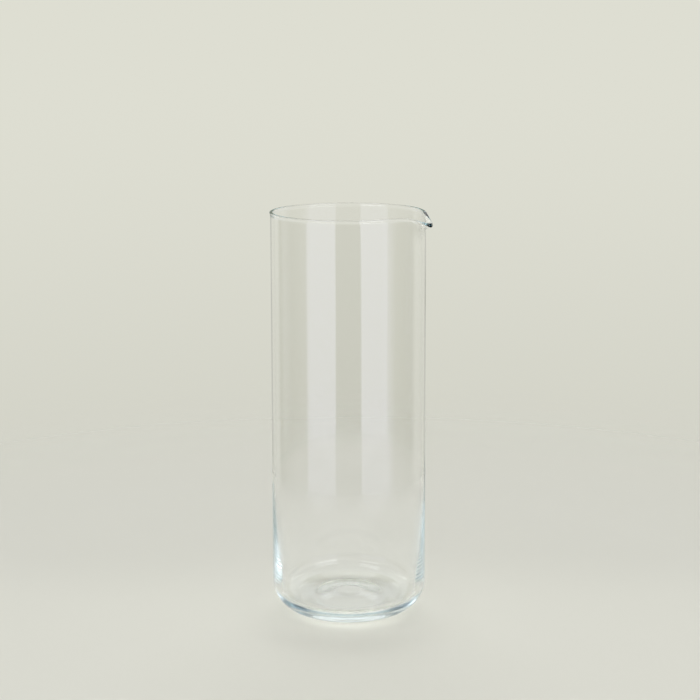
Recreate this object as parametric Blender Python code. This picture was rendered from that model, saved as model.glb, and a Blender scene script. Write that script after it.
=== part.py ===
"""Clear glass pitcher: a tall straight-sided cylinder, blown in one piece.

The thin wall grows thicker down to a heavy floor with a rounded heel. The underside has a
flat foot ring round a pushed-up kick, the rim is fire-polished to a slight bead, and a
small pouring lip is pulled out and down from the rim on the +X side. Metres, +Z up,
standing on z = 0.
"""

import math

import bmesh
import bpy

# Body
HEIGHT = 0.254
RIM_DIAMETER = 0.096
HEEL_DIAMETER = 0.097
WALL = 0.0013
WALL_AT_FLOOR = 0.0055
TAPER_HEIGHT = 0.085

# Fire-polished rim, nearly flat on top, with a slight bead to both sides
RIM_BEAD = 0.0020
RIM_BEAD_STAND_OUT = 0.0004
RIM_BEAD_DEPTH = 0.0015
RIM_CORNER = 0.0005

# Heel, foot ring and floor
HEEL_RADIUS = 0.0185
INNER_HEEL_RADIUS = 0.0080
FLOOR_THICKNESS = 0.0080
FOOT_RING_WIDTH = 0.0060

# Kick pushed up in the middle of the underside
KICK_HEIGHT = 0.0030
KICK_CROWN_DIAMETER = 0.016
KICK_CROWN_THICKNESS = 0.0070

# Pouring lip, pulled from the hot rim between two drawn-in shoulders
LIP_REACH = 0.0064
LIP_REACH_HALF_WIDTH = 0.0098
LIP_DROP = 0.0058
LIP_DROP_HALF_WIDTH = 0.0112
LIP_DEPTH = 0.0220
LIP_EDGE = 0.0028
SHOULDER_DRAW = 0.0008
SHOULDER_HALF_WIDTH = 0.0140
SHOULDER_SPACING = 0.0600
LIP_REACH_CURVE = 3.7
LIP_DROP_CURVE = 2.3
SHOULDER_CURVE = 1.5

# Facets
TURN_STEPS = 100
WALL_STEPS = 3
TAPER_STEPS = 6
LIP_STEPS = 8
BEAD_STEPS = 2
CORNER_STEPS = 2
HEEL_STEPS = 8
KICK_STEPS = 6
SHARP_ANGLE = math.radians(50)

# Worked out from the sizes above
RIM_CENTRE = HEIGHT - RIM_CORNER
RIM_BEAD_STAND_IN = RIM_BEAD - WALL - RIM_BEAD_STAND_OUT
LIP_BOTTOM = RIM_CENTRE - LIP_DEPTH
HEEL_CENTRE = HEEL_DIAMETER / 2 - HEEL_RADIUS
KICK_RADIUS = HEEL_CENTRE - FOOT_RING_WIDTH
CROWN_RADIUS = KICK_CROWN_DIAMETER / 2
CROWN_TOP = KICK_HEIGHT + KICK_CROWN_THICKNESS
INNER_HEEL_TOP = FLOOR_THICKNESS + INNER_HEEL_RADIUS

MERGE_DISTANCE = 1e-6
TANGENT_STEP = 1e-5


def clear_scene():
    """Remove every object, so that the model starts from an empty scene."""
    for item in list(bpy.data.objects):
        bpy.data.objects.remove(item, do_unlink=True)


def clear_glass():
    """Colourless soda glass with a faint cool cast."""
    material = bpy.data.materials.new("clear_glass")
    material.use_nodes = True
    shader = material.node_tree.nodes["Principled BSDF"]
    shader.inputs["Base Color"].default_value = (0.95, 0.98, 0.98, 1.0)
    shader.inputs["Roughness"].default_value = 0.02
    shader.inputs["Metallic"].default_value = 0.0
    shader.inputs["IOR"].default_value = 1.52
    shader.inputs["Transmission Weight"].default_value = 1.0
    return material


def ease(share):
    """Smooth step from 0 to 1, level at both ends."""
    share = min(max(share, 0.0), 1.0)
    return share * share * (3.0 - 2.0 * share)


def spread(start, end, steps):
    """Evenly spaced values after start, up to and including end."""
    return [start + (end - start) * i / steps for i in range(1, steps + 1)]


def wall_outside(height):
    """Outside radius of the plain wall, which widens slightly from rim to heel."""
    share = (height - HEEL_RADIUS) / (HEIGHT - HEEL_RADIUS)
    return (HEEL_DIAMETER + (RIM_DIAMETER - HEEL_DIAMETER) * share) / 2


def wall_thickness(height):
    """Thickness of the wall, which grows towards the floor."""
    share = max((TAPER_HEIGHT - height) / (TAPER_HEIGHT - FLOOR_THICKNESS), 0.0)
    return WALL + (WALL_AT_FLOOR - WALL) * share**2


def wall_middle(height):
    """Radius half-way through the thickness of the upper wall."""
    return wall_outside(height) - WALL / 2


def bead(height):
    """Share of the fire-polished bead at a height: 1 at the rim, 0 below the bead."""
    return 1.0 - ease((RIM_CENTRE - height) / RIM_BEAD_DEPTH)


def outside(height):
    """Outside radius of the wall with its bead."""
    return wall_outside(height) + RIM_BEAD_STAND_OUT * bead(height)


def inside(height):
    """Inside radius of the wall with its bead."""
    return wall_outside(height) - wall_thickness(height) - RIM_BEAD_STAND_IN * bead(height)


def underside():
    """Kick, from its crown on the axis out to the inner edge of the foot ring."""
    points = [(0.0, KICK_HEIGHT), (CROWN_RADIUS, KICK_HEIGHT)]
    for radius in spread(CROWN_RADIUS, KICK_RADIUS, KICK_STEPS):
        share = (radius - CROWN_RADIUS) / (KICK_RADIUS - CROWN_RADIUS)
        points.append((radius, KICK_HEIGHT * (1.0 - ease(share))))
    return points


def heel():
    """Quarter round from the foot ring up to the wall."""
    points = [(HEEL_CENTRE, 0.0)]
    for angle in spread(0.0, math.pi / 2, HEEL_STEPS):
        radius = HEEL_CENTRE + HEEL_RADIUS * math.sin(angle)
        points.append((radius, HEEL_RADIUS * (1.0 - math.cos(angle))))
    return points


def wall_heights(bottom):
    """Rows up the wall, closer together where the lip is pulled and at the bead."""
    plain = spread(bottom, LIP_BOTTOM, WALL_STEPS)
    pulled = spread(LIP_BOTTOM, RIM_CENTRE - RIM_BEAD_DEPTH, LIP_STEPS)
    return plain + pulled + spread(RIM_CENTRE - RIM_BEAD_DEPTH, RIM_CENTRE, BEAD_STEPS)


def rim():
    """Over the top of the bead from outside to inside, round at both corners."""
    quarter = math.pi / 2
    outer = outside(RIM_CENTRE) - RIM_CORNER
    inner = inside(RIM_CENTRE) + RIM_CORNER
    turns = [(outer, angle) for angle in spread(0.0, quarter, CORNER_STEPS)]
    turns.append((inner, quarter))
    turns += [(inner, angle) for angle in spread(quarter, math.pi, CORNER_STEPS)]
    points = []
    for centre, angle in turns:
        radius = centre + RIM_CORNER * math.cos(angle)
        points.append((radius, RIM_CENTRE + RIM_CORNER * math.sin(angle)))
    return points


def inner_heel():
    """Quarter round from the inside of the wall down to the floor."""
    points = []
    for angle in spread(0.0, math.pi / 2, HEEL_STEPS):
        height = INNER_HEEL_TOP - INNER_HEEL_RADIUS * math.sin(angle)
        points.append((inside(height) - INNER_HEEL_RADIUS * (1.0 - math.cos(angle)), height))
    return points


def floor(edge):
    """Inside floor, which rises over the kick, from its edge in to the axis."""
    points = []
    for radius in spread(edge, CROWN_RADIUS, KICK_STEPS):
        share = (edge - radius) / (edge - CROWN_RADIUS)
        points.append((radius, FLOOR_THICKNESS + (CROWN_TOP - FLOOR_THICKNESS) * ease(share)))
    points.append((0.0, CROWN_TOP))
    return points


def profile():
    """Half section as (radius, height), from the kick's crown round to the floor's middle."""
    up = [(outside(z), z) for z in wall_heights(HEEL_RADIUS)]
    down = [(inside(z), z) for z in wall_heights(TAPER_HEIGHT)[-2::-1]]
    tapered = [TAPER_HEIGHT] + spread(TAPER_HEIGHT, INNER_HEEL_TOP, TAPER_STEPS)
    down += [(inside(z), z) for z in tapered]
    corner = inner_heel()
    edge = corner[-1][0]
    return underside() + heel() + up + rim() + down + corner + floor(edge)


def revolve(points):
    """Spin the half section once round the axis and close its seam and poles."""
    body = bmesh.new()
    verts = [body.verts.new((radius, 0.0, height)) for radius, height in points]
    edges = [body.edges.new(pair) for pair in zip(verts, verts[1:])]
    bmesh.ops.spin(
        body,
        geom=verts + edges,
        axis=(0.0, 0.0, 1.0),
        cent=(0.0, 0.0, 0.0),
        steps=TURN_STEPS,
        angle=2 * math.pi,
    )
    bmesh.ops.remove_doubles(body, verts=body.verts, dist=MERGE_DISTANCE)
    return body


def swelling(along, half_width):
    """Bell curve round the rim: 1 in the middle, running out past its half width."""
    return math.exp(-((along / half_width) ** 2))


def rim_pull(along):
    """Reach, draw and drop of the rim at a distance along it from the middle of the lip."""
    shoulder = abs(along) - SHOULDER_SPACING / 2
    reach = LIP_REACH * swelling(along, LIP_REACH_HALF_WIDTH)
    draw = SHOULDER_DRAW * swelling(shoulder, SHOULDER_HALF_WIDTH)
    return reach, draw, LIP_DROP * swelling(along, LIP_DROP_HALF_WIDTH)


def pulled_middle(pull, depth):
    """Radius and height of the wall's middle, at a depth below the rim, after the pull."""
    reach, draw, drop = pull
    fade = max(1.0 - depth / LIP_DEPTH, 0.0)
    height = RIM_CENTRE - depth
    radius = wall_middle(height) + reach * fade**LIP_REACH_CURVE
    radius -= draw * fade**SHOULDER_CURVE
    return radius, height - drop * fade**LIP_DROP_CURVE


def pull_lip(body):
    """Bend the rim out and down into the lip, keeping the wall's thickness square to it."""
    for vert in body.verts:
        if vert.co.z <= LIP_BOTTOM:
            continue
        angle = math.atan2(vert.co.y, vert.co.x)
        along = angle * RIM_DIAMETER / 2
        depth = max(RIM_CENTRE - vert.co.z, 0.0)
        above = max(vert.co.z - RIM_CENTRE, 0.0)
        through = math.hypot(vert.co.x, vert.co.y) - wall_middle(RIM_CENTRE - depth)
        pull = rim_pull(along)
        radius, height = pulled_middle(pull, depth)
        low_radius, low_height = pulled_middle(pull, depth + TANGENT_STEP)
        length = math.hypot(radius - low_radius, height - low_height)
        lean = (radius - low_radius) / length
        rise = (height - low_height) / length
        fade = 1.0 - depth / LIP_DEPTH
        swell = 1.0 + (LIP_EDGE / RIM_BEAD - 1.0) * swelling(along, LIP_REACH_HALF_WIDTH) * fade
        radius += swell * (through * rise + above * lean)
        height += swell * (above * rise - through * lean)
        vert.co = (radius * math.cos(angle), radius * math.sin(angle), height)


def glass_body():
    """The whole pitcher, one piece of glass, set with its box centred over the origin."""
    body = revolve(profile())
    pull_lip(body)
    bmesh.ops.recalc_face_normals(body, faces=body.faces)
    middle = (min(v.co.x for v in body.verts) + max(v.co.x for v in body.verts)) / 2
    mesh = bpy.data.meshes.new("glass_body")
    body.to_mesh(mesh)
    body.free()
    mesh.shade_smooth()
    mesh.set_sharp_from_angle(angle=SHARP_ANGLE)
    mesh.materials.append(clear_glass())
    item = bpy.data.objects.new("glass_body", mesh)
    item.location.x = -middle
    bpy.context.scene.collection.objects.link(item)
    return item


def main():
    """Build the pitcher in an empty scene."""
    clear_scene()
    glass_body()


main()
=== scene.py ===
"""Tall straight-sided pitcher of clear glass, on a pale floor in soft light.

The body is turned from its half section by Geometry Nodes, which also pull the pouring
lip from the rim, draw the wall's faint waves and lay the chill rings above the heel.
"""

import math
import bmesh
import bpy
from mathutils import Matrix, Vector


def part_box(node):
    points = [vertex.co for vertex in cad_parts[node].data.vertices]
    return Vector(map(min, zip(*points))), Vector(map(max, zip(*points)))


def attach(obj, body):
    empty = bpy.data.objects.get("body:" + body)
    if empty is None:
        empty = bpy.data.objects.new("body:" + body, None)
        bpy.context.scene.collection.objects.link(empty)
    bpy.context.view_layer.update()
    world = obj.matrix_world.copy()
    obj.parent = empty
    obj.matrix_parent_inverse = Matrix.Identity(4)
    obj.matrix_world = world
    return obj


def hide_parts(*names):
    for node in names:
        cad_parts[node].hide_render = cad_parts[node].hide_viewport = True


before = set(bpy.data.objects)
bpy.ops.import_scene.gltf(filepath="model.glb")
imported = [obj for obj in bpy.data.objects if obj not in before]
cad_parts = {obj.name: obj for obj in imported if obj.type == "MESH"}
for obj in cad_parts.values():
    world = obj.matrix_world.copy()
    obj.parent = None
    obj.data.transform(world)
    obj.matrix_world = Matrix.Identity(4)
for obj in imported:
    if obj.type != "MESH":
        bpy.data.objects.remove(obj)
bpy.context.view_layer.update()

bl_info = {
    "name": "Glass Pitcher",
    "version": (1, 0, 0),
    "blender": (4, 5, 0),
    "location": "3D View > Sidebar > Pitcher",
    "description": "Builds a clear glass pitcher with a pulled lip, and a stage to show it on",
    "category": "Add Mesh",
}

BODY_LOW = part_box("glass_body")[0]
IMAGE_PIXELS = 700
SENSOR_MM = 36.0
LIGHT_BOUNCES = 400
UP = Vector((0.0, 0.0, 1.0))
FULL_TURN = 2 * math.pi
QUARTER_TURN = math.pi / 2

# Steps of the half section, from the kick's crown round to the middle of the inside floor.
CROWN_STEPS = 4
KICK_STEPS = 20
FOOT_STEPS = 4
HEEL_STEPS = 44
RINGED_WALL_STEPS = 60
PLAIN_WALL_STEPS = 12
LIP_STEPS = 24
RIM_CORNER_STEPS = 8
RIM_TOP_STEPS = 4
INSIDE_WALL_STEPS = 8
TAPER_STEPS = 24
INNER_HEEL_STEPS = 28
INSIDE_FLOOR_STEPS = 20
WELD_DISTANCE = 1e-6

# Which face of the wall a point of the half section is on.
OUTSIDE, NEITHER, INSIDE = 1.0, 0.0, -1.0

# Fine rings: heights over which they set in and run out, their wobble as (times round the
# body, radians), and how closely they keep to their two sides.
RINGS_SET_IN = 0.004
RINGS_RUN_OUT = 0.02
RING_WOBBLES = ((3.0, 0.9), (7.0, 0.4))
RING_FOCUS = 4.0

# Faint waves of the inside: their noise, the heights where they set in, and the shares of
# the height where they run out.
WAVE_ROUND = 2.2
WAVE_RISE = 9.0
WAVE_SCALE = 1.6
WAVE_DETAIL = 1.0
WAVES_SET_IN = (0.01, 0.03)
WAVES_RUN_OUT = (0.90, 0.95)

# Upright streaks: their noise, and the heights where they set in and run out.
STREAK_DETAIL = 2.0
STREAKS_SET_IN = (0.05, 0.09)
STREAKS_RUN_OUT = (0.215, 0.235)

# The room that the glass mirrors, in degrees: bearing from the camera's side, and slope.
# Two numbers give where an edge begins and ends, four give both edges of a part, and a pair
# in place of a number gives the left and the right side.
SIDE_ROOM_BEARING = (50.0, 56.0)
PANEL_BEARING = (18.0, 20.5, (62.0, 58.0), (66.0, 76.0))
WALLS_SLOPE = (4.0, 8.0)
BEHIND_BEARING = ((120.0, 100.0), (130.0, 122.0))
GAP_BEARING = (156.0, 160.0, 170.0, 174.0)
GAP_TOP = (4.0, 10.0)
RAIL_BEARING = (150.0, 158.0)
RAIL_SLOPE = (3.0, 5.0, 13.0, 17.0)
HIGH_WALL_SLOPE = (34.0, 40.0)
HIGH_WALL_END = (145.0, 165.0)
CANOPY_SLOPE = (29.0, 33.0, 52.0, 57.0)
CANOPY_END = (126.0, 136.0)
CANOPY_LEFT_SHARE = 0.45
WINDOW_BEARING = (19.0, 23.0, 58.0, 66.0)
WINDOW_SLOPE = ((28.0, 13.0), (31.0, 16.0), (40.0, 28.0), (44.0, 32.0))
BACK_WINDOW_BEARING = (135.0, 140.0, 149.0, 154.0)
BACK_WINDOW_SLOPE = (17.0, 21.0, 38.0, 43.0)
SCREEN_BEARING = (98.0, 104.0, 134.0, 142.0)
SCREEN_SLOPE = (-3.0, 0.0, 14.0, 18.0)
CEILING_SLOPE = (58.0, 64.0)

# The backdrop, with painted shade towards its foot, and the light that falls on the floor, in the
# same degrees.
BACKDROP_SHADE_SLOPE = (-18.0, -2.0)
SKY_SLOPE = (0.0, 30.0)
FRONT_LIGHT_END = (80.0, 96.0)
FRONT_LIGHT_TOP = (25.0, 40.0)
BACK_LIGHT_BEARING = (140.0, 156.0)
BACK_LIGHT_TOP = (14.0, 30.0)

# Floor in metres: tones by the distance in front of the frame's origin, with painted shade
# behind the pitcher and painted light in front; ends by the distance from the body's axis.
FLOOR_GAP = 0.0001
FLOOR_RADIUS = 1.5
FLOOR_SEGMENTS = 96
FLOOR_ROUGHNESS = 0.9
# Painted shade: the floor darkens behind the pitcher, standing in for the light falling off where
# the paper sweeps up.
PAINTED_SHADE_BEHIND = (-0.12, 0.0)
# Painted light: well in front, the floor that the glass mirrors turns much paler.
PAINTED_GLOW_FRONT = (0.17, 0.24)
FLOOR_END = (0.25, 0.70)
FLOOR_MIRRORED_END = (0.26, 0.40)


def length(name, description, default):
    """Property for a size in metres."""
    return bpy.props.FloatProperty(
        name=name, description=description, default=default, unit="LENGTH", precision=5
    )


def number(name, description, default):
    """Property for a plain number."""
    return bpy.props.FloatProperty(name=name, description=description, default=default, precision=4)


def count(name, description, default):
    """Property for a whole number of steps."""
    return bpy.props.IntProperty(name=name, description=description, default=default, min=1)


def angle(name, description, default):
    """Property for an angle in radians."""
    return bpy.props.FloatProperty(
        name=name, description=description, default=default, unit="ROTATION", precision=5
    )


def colour(name, description, default):
    """Property for a colour in linear light."""
    return bpy.props.FloatVectorProperty(
        name=name, description=description, default=default, size=3, min=0.0, subtype="COLOR"
    )


class PitcherSizes(bpy.types.PropertyGroup):
    """Sizes of the glass body."""

    height: length("Height", "From the foot ring to the top of the rim", 0.254)
    rim_diameter: length("Rim Diameter", "Across the outside at the rim", 0.096)
    heel_diameter: length("Heel Diameter", "Across the outside above the heel", 0.097)
    wall: length("Wall", "Thickness of the upper wall", 0.0013)
    rim_bead: length("Rim Bead", "Thickness of the fire-polished rim", 0.0020)
    bead_stand_out: length("Bead Stand-out", "How far the bead stands out from the wall", 0.0004)
    rim_corner: length("Rim Corner", "Round of the rim's two edges", 0.0005)
    bead_depth: length("Bead Depth", "How far the bead runs down the wall", 0.0015)
    heel_radius: length("Heel Radius", "Round between the foot and the wall", 0.0185)
    wall_at_floor: length("Wall at Floor", "Thickness that the wall grows to at the floor", 0.0055)
    taper_height: length("Taper Height", "Height below which the wall grows thicker", 0.085)
    inner_heel_radius: length("Inner Heel Radius", "Round of the inside floor into the wall", 0.008)
    floor_thickness: length("Floor Thickness", "Glass above the foot ring", 0.0080)
    foot_ring_width: length("Foot Ring Width", "Flat ring that the pitcher stands on", 0.0060)
    kick_height: length("Kick Height", "How far the underside is pushed up", 0.0030)
    kick_crown_diameter: length("Kick Crown", "Across the flat top of the kick", 0.016)
    kick_crown_thickness: length("Kick Thickness", "Glass above the kick's crown", 0.0070)
    lip_reach: length("Lip Reach", "How far the lip stands out", 0.0064)
    lip_reach_half_width: length("Lip Reach Width", "Half width of the reach along the rim", 0.0098)
    lip_drop: length("Lip Drop", "How far the lip is pulled down", 0.0058)
    lip_drop_half_width: length("Lip Drop Width", "Half width of the drop along the rim", 0.0112)
    lip_depth: length("Lip Depth", "How far below the rim the pull begins", 0.022)
    lip_edge: length("Lip Edge", "Thickness of the lip's edge", 0.0028)
    shoulder_draw: length("Shoulder Draw", "How far the rim is drawn in beside the lip", 0.0008)
    shoulder_half_width: length("Shoulder Width", "Half width of a drawn-in shoulder", 0.014)
    shoulder_spacing: length("Shoulder Spacing", "Between the two shoulders along the rim", 0.060)
    lip_reach_curve: number("Reach Curve", "How sharply the reach grows towards the rim", 3.7)
    lip_drop_curve: number("Drop Curve", "How sharply the drop grows towards the rim", 2.3)
    shoulder_curve: number("Shoulder Curve", "How sharply the shoulders are drawn in", 1.5)
    ring_depth: length("Chill Ring Depth", "Depth of the fine rings above the heel", 0.000045)
    ring_pitch: length("Chill Ring Pitch", "Height from one fine ring to the next", 0.0024)
    ring_bottom: length("Chill Rings From", "Height at which the fine rings begin", 0.010)
    ring_top: length("Chill Rings To", "Height at which the fine rings run out", 0.050)
    ring_side: angle(
        "Chill Ring Side", "Side where the fine rings are deepest, from the lip", math.radians(22.0)
    )
    wave_depth: length("Wave Depth", "Depth of the faint waves in the wall", 0.00003)
    turn_steps: count("Turn Steps", "Faces round the body", 320)


class GlassLook(bpy.types.PropertyGroup):
    """Finish of the glass."""

    tint: colour("Tint", "Colour that thick glass turns white light to", (0.49, 0.70, 0.75))
    tint_depth: number("Tint Depth", "How strongly thick glass is tinted, per metre", 4.0)
    index: number("Refraction", "Index of refraction", 1.5)
    streak_depth: length("Streak Depth", "Depth of the faint upright streaks in the wall", 0.00005)
    streak_width: length("Streak Width", "From one streak to the next", 0.016)
    streak_length: length("Streak Length", "How far a streak runs up the wall", 0.20)
    scuff: number("Foot Scuff", "Roughness of the foot ring, where it is worn by standing", 0.04)
    scuff_height: length("Scuff Height", "Height up to which the foot is worn", 0.0004)


class StudioLook(bpy.types.PropertyGroup):
    """Stage, light and camera."""

    camera_turn: angle("Camera Turn", "Camera's place round the pitcher", math.radians(22.0))
    camera_distance: length("Camera Distance", "Level distance from the body's axis", 1.080)
    camera_height: length("Camera Height", "Above the floor", 0.38066)
    camera_tilt: angle("Camera Tilt", "How far the camera looks down", 0.19531)
    camera_pan: angle("Camera Pan", "How far the camera looks to the left", 0.00091)
    camera_roll: angle("Camera Roll", "Turn of the picture", -0.00236)
    focal_pixels: number("Focal Length", "Focal length in pixels of the picture", 1762.84)
    backdrop: colour("Backdrop", "Tone of the backdrop level with the rim", (0.73, 0.73, 0.645))
    # Painted shade: the backdrop darkens towards the floor, where the light falls off at the sweep.
    backdrop_painted_shade: colour("Backdrop Shade", "Backdrop's tone near the floor", (0.64, 0.64, 0.565))
    floor: colour("Floor", "Tone of the floor", (0.695, 0.695, 0.625))
    panel: colour("Panel", "Soft panels on both sides, seen in the wall", (0.93, 0.93, 1.08))
    window: colour("Window", "Bright windows above the panels", (3.2, 3.25, 3.4))
    back_window: colour("Back Window", "Bright windows beside the backdrop", (2.4, 2.45, 2.45))
    back: colour("Back", "Light of the room beside the backdrop", (0.52, 0.52, 0.47))
    rail: colour("Rail", "Dark rail along the top of the backdrop", (0.36, 0.36, 0.26))
    room: colour("Room", "Light of the room between the panels", (0.11, 0.11, 0.04))
    side_room: colour("Side Room", "Light of the room beyond the panels", (0.22, 0.22, 0.13))
    left_wall: colour("Left Wall", "Light of the room's upper left side", (0.70, 0.71, 0.67))
    right_wall: colour("Right Wall", "Light of the room's upper right side", (0.88, 0.89, 0.89))
    sky: colour("Sky", "Tone that the backdrop rises to overhead", (1.0, 1.02, 1.02))
    soft_light: number("Soft Light", "Even light that falls on the floor", 0.15)
    front_light: number("Front Light", "Low light from the front that falls on the floor", 2.5)
    back_light: number("Back Light", "Low light from behind that falls on the floor", 7.5)
    ceiling: colour("Ceiling", "Pale ceiling overhead", (0.97, 0.98, 0.95))
    high_wall: colour("High Wall", "Walls between the windows and the ceiling", (0.74, 0.75, 0.72))
    canopy: colour("Canopy", "Dark part under the ceiling", (0.0, 0.03, 0.08))
    screen: colour("Screen", "Dark screen at the right, far side", (0.02, 0.07, 0.13))
    lamp: number("Lamp", "Light overhead that falls on the floor", 1.5)
    lamp_lean: angle("Lamp Lean", "How far back the lamp stands from overhead", math.radians(18.0))
    lamp_core: angle("Lamp Core", "Half angle of the lamp's even middle", math.radians(14.0))
    lamp_edge: angle("Lamp Edge", "Half angle at which the lamp has faded out", math.radians(36.0))
    # Painted shade on the floor behind the pitcher, where the light falls off towards the sweep.
    floor_painted_shade: colour("Painted Floor Shade", "Painted shade on the paper behind the pitcher", (0.66, 0.66, 0.595))
    # Painted light: a far paler floor in front, which only reflections in the glass see.
    floor_painted_glow: colour("Painted Floor Glow", "Painted light on the floor well in front, seen only in reflections", (0.95, 0.95, 0.90))


class Term:
    """A number in a node tree, so that a formula can be written as plain Python."""

    def __init__(self, tree, socket):
        self.tree = tree
        self.socket = socket

    def feed(self, entry, value):
        """Link a term to a node's entry, or set a plain number on it."""
        if isinstance(value, Term):
            self.tree.links.new(value.socket, entry)
        else:
            entry.default_value = value

    def maths(self, operation, *others):
        """Result of a Math node with this number first."""
        node = self.tree.nodes.new("ShaderNodeMath")
        node.operation = operation
        for entry, value in zip(node.inputs, (self, *others)):
            self.feed(entry, value)
        return Term(self.tree, node.outputs[0])

    def __add__(self, other):
        return self.maths("ADD", other)

    def __sub__(self, other):
        return self.maths("SUBTRACT", other)

    def __rsub__(self, other):
        node = self.tree.nodes.new("ShaderNodeMath")
        node.operation = "SUBTRACT"
        self.feed(node.inputs[0], other)
        self.feed(node.inputs[1], self)
        return Term(self.tree, node.outputs[0])

    def __mul__(self, other):
        return self.maths("MULTIPLY", other)

    def __truediv__(self, other):
        return self.maths("DIVIDE", other)

    def __pow__(self, other):
        return self.maths("POWER", other)

    def step(self, low, high):
        """Smooth step from 0 at low to 1 at high."""
        node = self.tree.nodes.new("ShaderNodeMapRange")
        node.interpolation_type = "SMOOTHSTEP"
        for name, value in (("Value", self), ("From Min", low), ("From Max", high)):
            self.feed(node.inputs[name], value)
        return Term(self.tree, node.outputs["Result"])


def combined(x, y, z):
    """Vector made of three terms."""
    node = x.tree.nodes.new("ShaderNodeCombineXYZ")
    for entry, term in zip(node.inputs, (x, y, z)):
        x.feed(entry, term)
    return node.outputs[0]


def vector_maths(tree, operation, socket, other):
    """Number that a Vector Math node makes of a vector and a fixed one."""
    node = tree.nodes.new("ShaderNodeVectorMath")
    node.operation = operation
    tree.links.new(socket, node.inputs[0])
    node.inputs[1].default_value = other
    return Term(tree, node.outputs["Value"])


def mixed(share, first, second):
    """Colour mixed from two, each a plain colour or a node's output."""
    node = share.tree.nodes.new("ShaderNodeMix")
    node.data_type = "RGBA"
    share.feed(node.inputs["Factor"], share)
    for name, value in (("A", first), ("B", second)):
        if isinstance(value, bpy.types.NodeSocket):
            share.tree.links.new(value, node.inputs[name])
        else:
            node.inputs[name].default_value = (*value, 1.0)
    return node.outputs["Result"]


def light_path(tree, name):
    """What the Light Path node says of a ray."""
    return Term(tree, tree.nodes.new("ShaderNodeLightPath").outputs[name])


def mirrored_rays(tree):
    """1 for a ray that the glass has mirrored, else 0."""
    return light_path(tree, "Glossy Depth").maths("GREATER_THAN", 0.5)


def ease(share):
    """Smooth step from 0 to 1, level at both ends."""
    share = min(max(share, 0.0), 1.0)
    return share * share * (3.0 - 2.0 * share)


def spread(start, end, steps):
    """Evenly spaced values after start, up to and including end."""
    return [start + (end - start) * i / steps for i in range(1, steps + 1)]


def wall_outside(sizes, height):
    """Outside radius of the plain wall, which widens slightly from rim to heel."""
    share = (height - sizes.heel_radius) / (sizes.height - sizes.heel_radius)
    return (sizes.heel_diameter + (sizes.rim_diameter - sizes.heel_diameter) * share) / 2


def wall_thickness(sizes, height):
    """Thickness of the wall, which grows towards the floor."""
    share = (sizes.taper_height - height) / (sizes.taper_height - sizes.floor_thickness)
    return sizes.wall + (sizes.wall_at_floor - sizes.wall) * max(share, 0.0) ** 2


def body_axis(sizes):
    """Place of the body's axis along the lip's direction."""
    return BODY_LOW[0] + sizes.heel_diameter / 2


def half_section(sizes):
    """Half section as (radius, height, side), from the kick's crown to the inside floor."""
    s = sizes
    rim_centre = s.height - s.rim_corner
    lip_start = rim_centre - s.lip_depth
    heel_centre = s.heel_diameter / 2 - s.heel_radius
    kick_radius = heel_centre - s.foot_ring_width
    crown = s.kick_crown_diameter / 2
    crown_top = s.kick_height + s.kick_crown_thickness
    inner_top = s.floor_thickness + s.inner_heel_radius
    bead_stand_in = s.rim_bead - s.wall - s.bead_stand_out
    points = [(0.0, s.kick_height, NEITHER)]

    def add(radius, height, side):
        points.append((radius, height, side))

    def bead(z):
        return 1.0 - ease((rim_centre - z) / s.bead_depth)

    def rim_edge(centre, start, end):
        for turn in spread(start, end, RIM_CORNER_STEPS):
            radius = centre + s.rim_corner * math.cos(turn)
            add(radius, rim_centre + s.rim_corner * math.sin(turn), NEITHER)

    for radius in spread(0.0, crown, CROWN_STEPS):
        add(radius, s.kick_height, NEITHER)
    for radius in spread(crown, kick_radius, KICK_STEPS):
        share = (radius - crown) / (kick_radius - crown)
        add(radius, s.kick_height * (1.0 - ease(share)), NEITHER)
    for radius in spread(kick_radius, heel_centre, FOOT_STEPS):
        add(radius, 0.0, NEITHER)
    for turn in spread(0.0, QUARTER_TURN, HEEL_STEPS):
        radius = heel_centre + s.heel_radius * math.sin(turn)
        add(radius, s.heel_radius * (1.0 - math.cos(turn)), OUTSIDE)
    rising = spread(s.heel_radius, s.ring_top, RINGED_WALL_STEPS)
    rising += spread(s.ring_top, lip_start, PLAIN_WALL_STEPS)
    rising += spread(lip_start, rim_centre, LIP_STEPS)
    for z in rising:
        add(wall_outside(s, z) + s.bead_stand_out * bead(z), z, OUTSIDE)
    outer = wall_outside(s, rim_centre) + s.bead_stand_out - s.rim_corner
    inner = outer - s.rim_bead + s.rim_corner * 2
    rim_edge(outer, 0.0, QUARTER_TURN)
    for radius in spread(outer, inner, RIM_TOP_STEPS):
        add(radius, s.height, NEITHER)
    rim_edge(inner, QUARTER_TURN, math.pi)
    falling = spread(rim_centre, lip_start, LIP_STEPS)
    falling += spread(lip_start, s.taper_height, INSIDE_WALL_STEPS)
    falling += spread(s.taper_height, inner_top, TAPER_STEPS)
    for z in falling:
        add(wall_outside(s, z) - wall_thickness(s, z) - bead_stand_in * bead(z), z, INSIDE)
    for turn in spread(0.0, QUARTER_TURN, INNER_HEEL_STEPS):
        z = inner_top - s.inner_heel_radius * math.sin(turn)
        inset = wall_thickness(s, z) + s.inner_heel_radius * (1.0 - math.cos(turn))
        add(wall_outside(s, z) - inset, z, INSIDE)
    edge = points[-1][0]
    for radius in spread(edge, crown, INSIDE_FLOOR_STEPS):
        share = (edge - radius) / (edge - crown)
        add(radius, s.floor_thickness + (crown_top - s.floor_thickness) * ease(share), INSIDE)
    for radius in spread(crown, 0.0, CROWN_STEPS):
        add(radius, crown_top, INSIDE)
    return points


def section_mesh(points):
    """Polyline of the half section, with each point's side kept as an attribute."""
    mesh = bpy.data.meshes.new("half_section")
    edges = [(i, i + 1) for i in range(len(points) - 1)]
    mesh.from_pydata([(radius, 0.0, height) for radius, height, side in points], edges, [])
    side = mesh.attributes.new("side", "FLOAT", "POINT")
    side.data.foreach_set("value", [point[2] for point in points])
    return mesh


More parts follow.
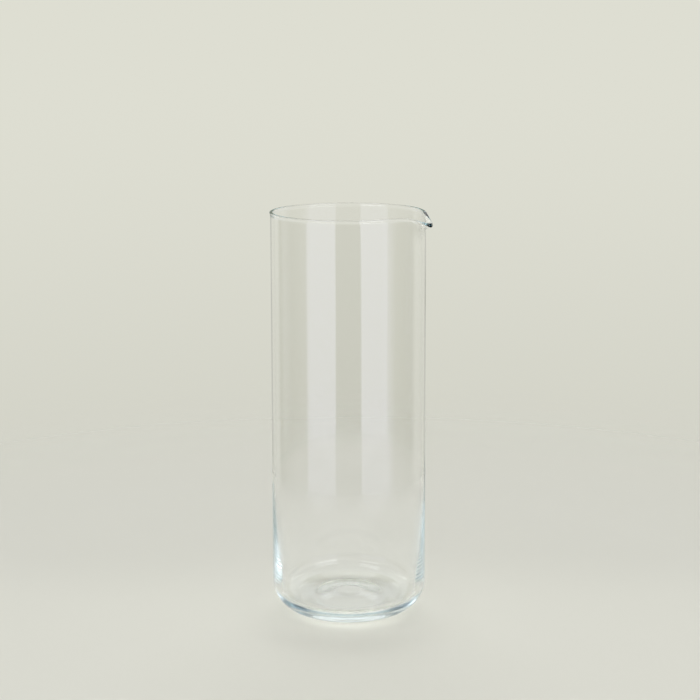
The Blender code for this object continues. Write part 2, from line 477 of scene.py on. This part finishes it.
def lip_pull(g, turn, radius, height):
    """Radius and height of the turned wall once the lip is pulled from its rim."""
    rim_centre = g["height"] - g["rim_corner"]
    depth = (rim_centre - height).maths("MAXIMUM", 0.0)
    above = (height - rim_centre).maths("MAXIMUM", 0.0)
    fade = (1.0 - depth / g["lip_depth"]).maths("MAXIMUM", 0.0)
    low = rim_centre - depth
    slope = (g["rim_diameter"] - g["heel_diameter"]) * 0.5 / (g["height"] - g["heel_radius"])
    middle = g["heel_diameter"] * 0.5 + (low - g["heel_radius"]) * slope - g["wall"] * 0.5
    through = radius - middle
    along = (turn * g["rim_diameter"] * 0.5).maths("ABSOLUTE")
    beside = (along - g["shoulder_spacing"] * 0.5).maths("ABSOLUTE")

    def swelling(distance, half_width):
        return ((distance / half_width) ** 2.0 * -1.0).maths("EXPONENT")

    bell = swelling(along, g["lip_reach_half_width"])
    reach = g["lip_reach"] * bell
    draw = g["shoulder_draw"] * swelling(beside, g["shoulder_half_width"])
    drop = g["lip_drop"] * swelling(along, g["lip_drop_half_width"])

    out = reach * g["lip_reach_curve"] * fade ** (g["lip_reach_curve"] - 1.0)
    out = out - draw * g["shoulder_curve"] * fade ** (g["shoulder_curve"] - 1.0)
    out = slope + out / g["lip_depth"]
    up = drop * g["lip_drop_curve"] * fade ** (g["lip_drop_curve"] - 1.0)
    up = 1.0 - up / g["lip_depth"]
    long = (out * out + up * up).maths("SQRT")
    lean = out / long
    rise = up / long
    swell = (g["lip_edge"] / g["rim_bead"] - 1.0) * bell * fade + 1.0
    offset = reach * fade ** g["lip_reach_curve"] - draw * fade ** g["shoulder_curve"]
    pulled_radius = middle + offset + swell * (through * rise + above * lean)
    pulled_height = low - drop * fade ** g["lip_drop_curve"]
    pulled_height = pulled_height + swell * (above * rise - through * lean)
    pulls = fade.maths("GREATER_THAN", 0.0)
    return radius + (pulled_radius - radius) * pulls, height + (pulled_height - height) * pulls


def chill_rings(g, turn, height, side):
    """Fine rings on the outside above the heel, deepest on two opposite sides."""
    zone = height.step(g["ring_bottom"], g["ring_bottom"] + RINGS_SET_IN)
    zone = zone * (1.0 - height.step(g["ring_top"] - RINGS_RUN_OUT, g["ring_top"]))
    slow, quick = ((turn * times).maths("SINE") * size for times, size in RING_WOBBLES)
    rings = (height / g["ring_pitch"] * FULL_TURN + (slow + quick)).maths("SINE")
    flank = (turn - g["ring_side"]).maths("COSINE") ** 2.0
    outside = side.maths("GREATER_THAN", (OUTSIDE + NEITHER) / 2)
    return rings * zone * outside * flank ** RING_FOCUS * g["ring_depth"]


def wall_waves(g, cosine, sine, height, side):
    """Faint waves on the inside of the wall, clear of the floor and the rim."""
    tree = height.tree
    spot = combined(cosine * WAVE_ROUND, sine * WAVE_ROUND, height * WAVE_RISE)
    noise = tree.nodes.new("ShaderNodeTexNoise")
    noise.inputs["Scale"].default_value = WAVE_SCALE
    noise.inputs["Detail"].default_value = WAVE_DETAIL
    tree.links.new(spot, noise.inputs["Vector"])
    inside = side.maths("LESS_THAN", (INSIDE + NEITHER) / 2)
    plain = height.step(*WAVES_SET_IN) * (1.0 - (height / g["height"]).step(*WAVES_RUN_OUT))
    return (Term(tree, noise.outputs[0]) - 0.5) * 2.0 * inside * plain * g["wave_depth"]


TURNING_SIZES = (
    "rim_diameter", "heel_diameter", "height", "wall", "rim_bead", "rim_corner", "heel_radius",
    "lip_reach", "lip_reach_half_width", "lip_drop", "lip_drop_half_width", "lip_depth",
    "lip_edge", "shoulder_draw", "shoulder_half_width", "shoulder_spacing", "lip_reach_curve",
    "lip_drop_curve", "shoulder_curve", "ring_depth", "ring_pitch", "ring_bottom", "ring_top",
    "ring_side", "wave_depth",
)


def turning_tree():
    """Node tree that turns a half section round the axis and pulls the lip."""
    tree = bpy.data.node_groups.new("Turned glass body", "GeometryNodeTree")
    nodes, links = tree.nodes, tree.links
    tree.interface.new_socket("Geometry", in_out="OUTPUT", socket_type="NodeSocketGeometry")

    def add_input(name, kind):
        tree.interface.new_socket(name, in_out="INPUT", socket_type=kind)

    add_input("Half section", "NodeSocketGeometry")
    add_input("turn_steps", "NodeSocketInt")
    add_input("axis_x", "NodeSocketFloat")
    for name in TURNING_SIZES:
        add_input(name, "NodeSocketFloat")
    add_input("Glass", "NodeSocketMaterial")
    entry = nodes.new("NodeGroupInput")
    exit_ = nodes.new("NodeGroupOutput")

    def given(name):
        return Term(tree, entry.outputs[name])

    g = {name: given(name) for name in TURNING_SIZES}
    size = nodes.new("GeometryNodeAttributeDomainSize")
    links.new(entry.outputs["Half section"], size.inputs[0])
    columns = given("turn_steps") + 1.0
    grid = nodes.new("GeometryNodeMeshGrid")
    links.new(size.outputs["Point Count"], grid.inputs["Vertices X"])
    links.new(columns.socket, grid.inputs["Vertices Y"])

    index = Term(tree, nodes.new("GeometryNodeInputIndex").outputs[0])
    row = (index / columns).maths("FLOOR")
    column = index - row * columns
    turn = (column / given("turn_steps") - 0.5) * FULL_TURN
    cosine, sine = turn.maths("COSINE"), turn.maths("SINE")

    def sampled(kind, socket):
        node = nodes.new("GeometryNodeSampleIndex")
        node.data_type = kind
        links.new(entry.outputs["Half section"], node.inputs["Geometry"])
        links.new(socket, node.inputs["Value"])
        links.new(row.socket, node.inputs["Index"])
        return node.outputs["Value"]

    position = nodes.new("GeometryNodeInputPosition")
    split = nodes.new("ShaderNodeSeparateXYZ")
    links.new(sampled("FLOAT_VECTOR", position.outputs[0]), split.inputs[0])
    height = Term(tree, split.outputs["Z"])
    named = nodes.new("GeometryNodeInputNamedAttribute")
    named.data_type = "FLOAT"
    named.inputs["Name"].default_value = "side"
    side = Term(tree, sampled("FLOAT", named.outputs["Attribute"]))

    radius, lifted = lip_pull(g, turn, Term(tree, split.outputs["X"]), height)
    radius = radius + chill_rings(g, turn, height, side)
    radius = radius + wall_waves(g, cosine, sine, height, side)
    place = combined(radius * cosine + given("axis_x"), radius * sine, lifted)
    move = nodes.new("GeometryNodeSetPosition")
    links.new(grid.outputs["Mesh"], move.inputs["Geometry"])
    links.new(place, move.inputs["Position"])
    merge = nodes.new("GeometryNodeMergeByDistance")
    merge.inputs["Distance"].default_value = WELD_DISTANCE
    links.new(move.outputs[0], merge.inputs["Geometry"])
    smooth = nodes.new("GeometryNodeSetShadeSmooth")
    links.new(merge.outputs[0], smooth.inputs["Geometry"])
    real = nodes.new("GeometryNodeRealizeInstances")
    links.new(smooth.outputs[0], real.inputs["Geometry"])
    finish = nodes.new("GeometryNodeSetMaterial")
    links.new(real.outputs[0], finish.inputs["Geometry"])
    links.new(entry.outputs["Glass"], finish.inputs["Material"])
    links.new(finish.outputs[0], exit_.inputs[0])
    return tree


def clear_glass(look):
    """Clear soda glass: faintly cool where it is thick, with upright streaks and a worn foot."""
    material = bpy.data.materials.new("clear_glass")
    material.use_nodes = True
    tree = material.node_tree
    nodes, links = tree.nodes, tree.links
    shader = nodes["Principled BSDF"]
    shader.inputs["Base Color"].default_value = (1.0, 1.0, 1.0, 1.0)
    coords = nodes.new("ShaderNodeTexCoord")
    split = nodes.new("ShaderNodeSeparateXYZ")
    links.new(coords.outputs["Object"], split.inputs[0])
    height = Term(tree, split.outputs["Z"])

    stretch = nodes.new("ShaderNodeMapping")
    links.new(coords.outputs["Object"], stretch.inputs["Vector"])
    across = 1.0 / look.streak_width
    stretch.inputs["Scale"].default_value = (across, across, 1.0 / look.streak_length)
    streaks = nodes.new("ShaderNodeTexNoise")
    streaks.inputs["Scale"].default_value = 1.0
    streaks.inputs["Detail"].default_value = STREAK_DETAIL
    links.new(stretch.outputs[0], streaks.inputs["Vector"])
    plain = height.step(*STREAKS_SET_IN) * (1.0 - height.step(*STREAKS_RUN_OUT))
    bump = nodes.new("ShaderNodeBump")
    bump.inputs["Distance"].default_value = look.streak_depth
    links.new(((Term(tree, streaks.outputs[0]) - 0.5) * plain).socket, bump.inputs["Height"])
    links.new(bump.outputs[0], shader.inputs["Normal"])

    grain = nodes.new("ShaderNodeTexNoise")
    grain.inputs["Scale"].default_value = 1.0 / look.scuff_height
    links.new(coords.outputs["Object"], grain.inputs["Vector"])
    worn = 1.0 - height.step(look.scuff_height * 0.5, look.scuff_height)
    links.new((Term(tree, grain.outputs[0]) * worn * look.scuff).socket, shader.inputs["Roughness"])
    shader.inputs["IOR"].default_value = look.index
    shader.inputs["Transmission Weight"].default_value = 1.0
    volume = nodes.new("ShaderNodeVolumeAbsorption")
    volume.inputs["Color"].default_value = (*look.tint, 1.0)
    volume.inputs["Density"].default_value = look.tint_depth
    links.new(volume.outputs[0], nodes["Material Output"].inputs["Volume"])
    return material


class PITCHER_OT_glass_body(bpy.types.Operator):
    """Turn the glass body with its rim, lip, heel and kick"""

    bl_idname = "pitcher.glass_body"
    bl_label = "Glass Body"

    def execute(self, context):
        sizes = context.scene.pitcher_sizes
        section = bpy.data.objects.new("pitcher_glass", section_mesh(half_section(sizes)))
        context.scene.collection.objects.link(section)
        tree = turning_tree()
        turner = section.modifiers.new("Turning", "NODES")
        turner.node_group = tree
        given = {name: getattr(sizes, name) for name in TURNING_SIZES}
        given["turn_steps"] = sizes.turn_steps
        given["axis_x"] = body_axis(sizes)
        given["Glass"] = clear_glass(context.scene.pitcher_glass)
        for item in tree.interface.items_tree:
            if item.name in given:
                turner[item.identifier] = given[item.name]
        graph = context.evaluated_depsgraph_get()
        mesh = bpy.data.meshes.new_from_object(section.evaluated_get(graph))
        mesh.name = "pitcher_glass"
        section.modifiers.remove(turner)
        section.data = mesh
        body = bmesh.new()
        body.from_mesh(mesh)
        bmesh.ops.recalc_face_normals(body, faces=body.faces)
        if body.calc_volume(signed=True) < 0:
            bmesh.ops.reverse_faces(body, faces=body.faces)
        loose = [edge for edge in body.edges if not edge.is_manifold]
        if loose:
            raise RuntimeError(f"{len(loose)} edges of the glass body are open")
        body.to_mesh(mesh)
        body.free()
        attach(section, "root")
        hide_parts("glass_body")
        return {"FINISHED"}


class RayWay:
    """Where a ray that leaves the stage goes: its bearing from the camera's side and its slope."""

    def __init__(self, tree, toward, right):
        self.tree = tree
        self.way = tree.nodes.new("ShaderNodeTexCoord").outputs["Generated"]
        across = self.along(right)
        self.bearing = across.maths("ARCTAN2", self.along(toward)).maths("ABSOLUTE")
        self.slope = self.along(UP).maths("ARCSINE")
        self.rightward = across.maths("GREATER_THAN", 0.0)

    def along(self, axis):
        """Cosine between the ray and an axis."""
        return vector_maths(self.tree, "DOT_PRODUCT", self.way, axis)

    def edge(self, degrees):
        """Angle in radians; a pair of degrees gives the left and the right side."""
        if isinstance(degrees, tuple):
            left, right = degrees
            return self.rightward * math.radians(right - left) + math.radians(left)
        return math.radians(degrees)

    def past(self, term, edges):
        """Rise from 0 to 1 between two edges."""
        low, high = (self.edge(degrees) for degrees in edges)
        return term.step(low, high)

    def short_of(self, term, edges):
        """Fall from 1 to 0 between two edges."""
        return 1.0 - self.past(term, edges)

    def between(self, term, edges):
        """Rise between the first two of four edges and fall between the last two."""
        return self.past(term, edges[:2]) * self.short_of(term, edges[2:])


def mirrored_room(look, way, backdrop):
    """Colour of the plain room that only reflections in the glass see."""
    bearing, slope, rightward = way.bearing, way.slope, way.rightward
    panel = way.between(bearing, PANEL_BEARING)
    gap = way.between(bearing, GAP_BEARING) * way.short_of(slope, GAP_TOP)
    rail = way.past(bearing, RAIL_BEARING) * way.between(slope, RAIL_SLOPE)
    high_wall = way.past(slope, HIGH_WALL_SLOPE) * way.short_of(bearing, HIGH_WALL_END)
    canopy = way.between(slope, CANOPY_SLOPE) * way.short_of(bearing, CANOPY_END)
    canopy = canopy * (rightward * (1.0 - CANOPY_LEFT_SHARE) + CANOPY_LEFT_SHARE)
    window = way.between(bearing, WINDOW_BEARING) * way.between(slope, WINDOW_SLOPE)
    back_window = way.between(bearing, BACK_WINDOW_BEARING)
    back_window = back_window * way.between(slope, BACK_WINDOW_SLOPE)
    screen = way.between(bearing, SCREEN_BEARING) * rightward
    screen = screen * way.between(slope, SCREEN_SLOPE)
    walls = mixed(rightward, look.left_wall, look.right_wall)
    room = mixed(way.past(bearing, SIDE_ROOM_BEARING), look.room, look.side_room)
    for share, tone in (
        (panel, look.panel),
        (way.past(slope, WALLS_SLOPE), walls),
        (way.past(bearing, BEHIND_BEARING), backdrop),
        (gap, look.back),
        (rail, look.rail),
        (high_wall, look.high_wall),
        (canopy, look.canopy),
        (window, look.window),
        (back_window, look.back_window),
        (screen, look.screen),
        (way.past(slope, CEILING_SLOPE), look.ceiling),
    ):
        room = mixed(share, room, tone)
    return room


def floor_light(look, way, toward):
    """Strength of the light on the floor: low light front and back, a lamp and an even part."""
    front = way.short_of(way.bearing, FRONT_LIGHT_END) * way.short_of(way.slope, FRONT_LIGHT_TOP)
    back = way.past(way.bearing, BACK_LIGHT_BEARING) * way.short_of(way.slope, BACK_LIGHT_TOP)
    lamp = way.along(UP * math.cos(look.lamp_lean) - toward * math.sin(look.lamp_lean))
    lamp = lamp.step(math.cos(look.lamp_edge), math.cos(look.lamp_core))
    return front * look.front_light + back * look.back_light + lamp * look.lamp + look.soft_light


def studio_world(look, toward, right):
    """World: the pale backdrop with painted shade at its foot, the room that the glass mirrors, and
    the light on the floor.
    """
    world = bpy.data.worlds.new("studio")
    world.use_nodes = True
    tree = world.node_tree
    nodes, links = tree.nodes, tree.links
    nodes.clear()
    way = RayWay(tree, toward, right)
    # Painted shade: the backdrop turns darker towards its foot.
    backdrop = mixed(way.past(way.slope, BACKDROP_SHADE_SLOPE), look.backdrop_painted_shade, look.backdrop)
    backdrop = mixed(way.past(way.slope, SKY_SLOPE), backdrop, look.sky)
    seen = mixed(mirrored_rays(tree), backdrop, mirrored_room(look, way, backdrop))

    looked = light_path(tree, "Is Camera Ray") + light_path(tree, "Is Glossy Ray")
    looked = looked + light_path(tree, "Is Transmission Ray")
    scattered = light_path(tree, "Diffuse Depth").maths("GREATER_THAN", 0.5)
    scattered = scattered.maths("MAXIMUM", looked.maths("LESS_THAN", 0.5))
    level = floor_light(look, way, toward)
    lit = nodes.new("ShaderNodeCombineColor")
    for channel in lit.inputs:
        links.new(level.socket, channel)
    background = nodes.new("ShaderNodeBackground")
    links.new(mixed(scattered, seen, lit.outputs[0]), background.inputs["Color"])
    out = nodes.new("ShaderNodeOutputWorld")
    links.new(background.outputs[0], out.inputs[0])
    return world


def floor_finish(look, centre, toward):
    """Pale matt floor that runs out into the backdrop, with painted shade behind the pitcher and
    painted light in front that only reflections see.
    """
    material = bpy.data.materials.new("pale_floor")
    material.use_nodes = True
    tree = material.node_tree
    nodes, links = tree.nodes, tree.links
    shader = nodes["Principled BSDF"]
    shader.inputs["Roughness"].default_value = FLOOR_ROUGHNESS
    shader.inputs["Specular IOR Level"].default_value = 0.0
    place = nodes.new("ShaderNodeTexCoord").outputs["Object"]
    away = vector_maths(tree, "DISTANCE", place, centre)
    forward = vector_maths(tree, "DOT_PRODUCT", place, toward)
    mirrored = mirrored_rays(tree)
    # Painted shade: the floor turns darker behind the pitcher.
    tone = mixed(forward.step(*PAINTED_SHADE_BEHIND), look.floor_painted_shade, look.floor)
    # Painted light: only mirrored rays see the floor in front turn paler.
    tone = mixed(forward.step(*PAINTED_GLOW_FRONT) * mirrored, tone, look.floor_painted_glow)
    links.new(tone, shader.inputs["Base Color"])
    far = away.step(*FLOOR_END)
    near = away.step(*FLOOR_MIRRORED_END)
    gone = far + (near - far) * mirrored
    clear = nodes.new("ShaderNodeBsdfTransparent")
    mixer = nodes.new("ShaderNodeMixShader")
    links.new(gone.socket, mixer.inputs[0])
    links.new(shader.outputs[0], mixer.inputs[1])
    links.new(clear.outputs[0], mixer.inputs[2])
    links.new(mixer.outputs[0], nodes["Material Output"].inputs["Surface"])
    return material


class PITCHER_OT_stage(bpy.types.Operator):
    """Set the floor, the light and the camera"""

    bl_idname = "pitcher.stage"
    bl_label = "Stage"

    def execute(self, context):
        scene = context.scene
        look = scene.pitcher_studio
        axis = Vector((body_axis(scene.pitcher_sizes), 0.0, 0.0))
        right = Vector((math.cos(look.camera_turn), math.sin(look.camera_turn), 0.0))
        toward = Vector((math.sin(look.camera_turn), -math.cos(look.camera_turn), 0.0))
        scene.world = studio_world(look, toward, right)

        mesh = bpy.data.meshes.new("floor")
        disc = bmesh.new()
        bmesh.ops.create_circle(
            disc, cap_ends=True, segments=FLOOR_SEGMENTS, radius=FLOOR_RADIUS
        )
        bmesh.ops.translate(disc, vec=(0.0, 0.0, -FLOOR_GAP), verts=disc.verts)
        disc.to_mesh(mesh)
        disc.free()
        floor = bpy.data.objects.new("floor", mesh)
        mesh.materials.append(floor_finish(look, axis, toward))
        scene.collection.objects.link(floor)

        data = bpy.data.cameras.new("camera")
        data.sensor_width = SENSOR_MM
        data.lens = look.focal_pixels * SENSOR_MM / IMAGE_PIXELS
        camera = bpy.data.objects.new("camera", data)
        scene.collection.objects.link(camera)
        level = (-toward - right * math.tan(-look.camera_pan)).normalized()
        side = level.cross(UP)
        ahead = level * math.cos(look.camera_tilt) - UP * math.sin(look.camera_tilt)
        turn = Matrix((side, side.cross(ahead), -ahead)).transposed().to_4x4()
        turn = turn @ Matrix.Rotation(look.camera_roll, 4, "Z")
        place = axis + toward * look.camera_distance + UP * look.camera_height
        camera.matrix_world = Matrix.Translation(place) @ turn
        scene.camera = camera
        scene.view_settings.view_transform = "Standard"
        scene.cycles.blur_glossy = 0.0
        scene.cycles.max_bounces = LIGHT_BOUNCES
        scene.cycles.transmission_bounces = LIGHT_BOUNCES
        scene.cycles.glossy_bounces = LIGHT_BOUNCES
        return {"FINISHED"}


class PITCHER_PT_panel(bpy.types.Panel):
    """Sizes, finish and stage of the pitcher"""

    bl_label = "Glass Pitcher"
    bl_idname = "PITCHER_PT_panel"
    bl_space_type = "VIEW_3D"
    bl_region_type = "UI"
    bl_category = "Pitcher"

    def draw(self, context):
        layout = self.layout
        for group in ("pitcher_sizes", "pitcher_glass", "pitcher_studio"):
            data = getattr(context.scene, group)
            box = layout.box()
            for name in data.__annotations__:
                box.prop(data, name)
        layout.operator("pitcher.glass_body")
        layout.operator("pitcher.stage")


CLASSES = (
    PitcherSizes,
    GlassLook,
    StudioLook,
    PITCHER_OT_glass_body,
    PITCHER_OT_stage,
    PITCHER_PT_panel,
)


def register():
    """Register the classes and hang the settings on the scene."""
    for item in CLASSES:
        bpy.utils.register_class(item)
    bpy.types.Scene.pitcher_sizes = bpy.props.PointerProperty(type=PitcherSizes)
    bpy.types.Scene.pitcher_glass = bpy.props.PointerProperty(type=GlassLook)
    bpy.types.Scene.pitcher_studio = bpy.props.PointerProperty(type=StudioLook)


def unregister():
    """Take the settings and the classes away again."""
    del bpy.types.Scene.pitcher_studio
    del bpy.types.Scene.pitcher_glass
    del bpy.types.Scene.pitcher_sizes
    for item in reversed(CLASSES):
        bpy.utils.unregister_class(item)


def main():
    """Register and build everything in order."""
    register()
    bpy.ops.pitcher.glass_body()
    bpy.ops.pitcher.stage()


if __name__ == "__main__":
    main()
